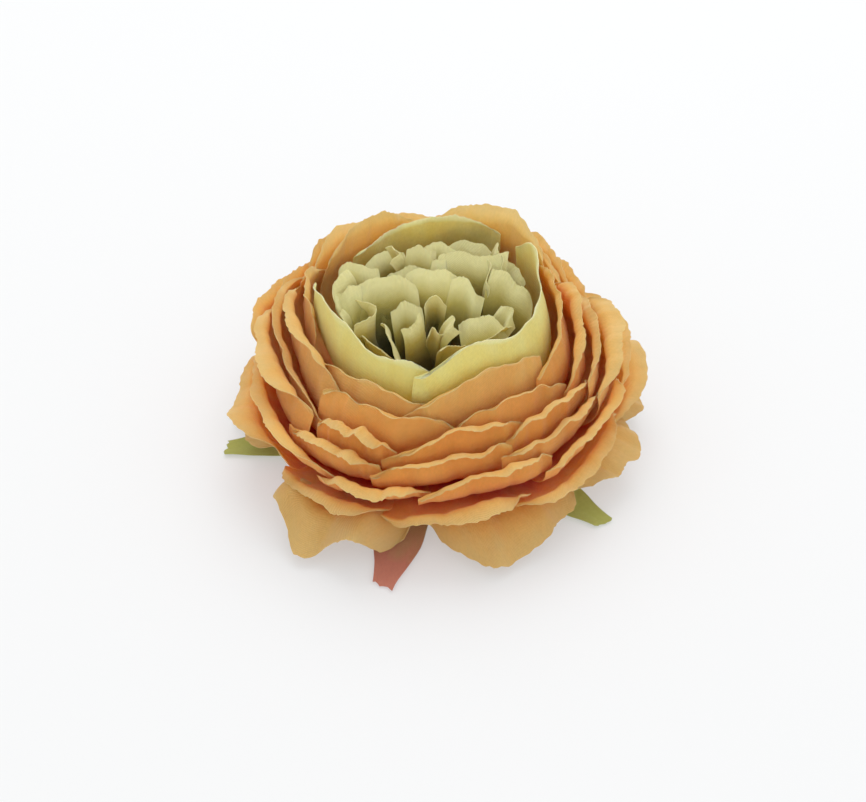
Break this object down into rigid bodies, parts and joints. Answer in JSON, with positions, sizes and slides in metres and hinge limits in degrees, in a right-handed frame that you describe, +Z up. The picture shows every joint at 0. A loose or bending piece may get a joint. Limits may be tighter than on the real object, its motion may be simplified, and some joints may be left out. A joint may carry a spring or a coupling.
{
  "type": "fabric peony flower head",
  "caption": "Full double peony head of shaped fabric: rolled peach petals in tiers, a green petal cup round a curled heart, and leaf-like sepals under a small flat-bottomed receptacle.",
  "frame": {"origin": "on the flower's axis, in the plane of its flat underside", "axes": "+Z up along the flower's axis, -Y towards the side that the picture shows"},
  "size_m": [0.1007, 0.1037, 0.0494],
  "materials": {
    "receptacle_plastic": "satin",
    "sepal_fabric": "matt woven cloth",
    "peach_fabric": "matt woven cloth, dyed from peach rims to a deep red at the roots",
    "green_fabric": "matt woven cloth",
    "heart_fabric": "matt woven cloth"
  },
  "bodies": {
    "root": {"receptacle": "receptacle_plastic", "sepals": "sepal_fabric", "petal_layer_1": "peach_fabric", "petal_layer_2": "peach_fabric", "petal_layer_3": "peach_fabric", "petal_layer_4": "peach_fabric", "petal_layer_5": "peach_fabric", "petal_layer_6": "peach_fabric", "petal_layer_7": "peach_fabric", "green_cup": "green_fabric", "heart_petals": "heart_fabric"}
  },
  "joints": []
}
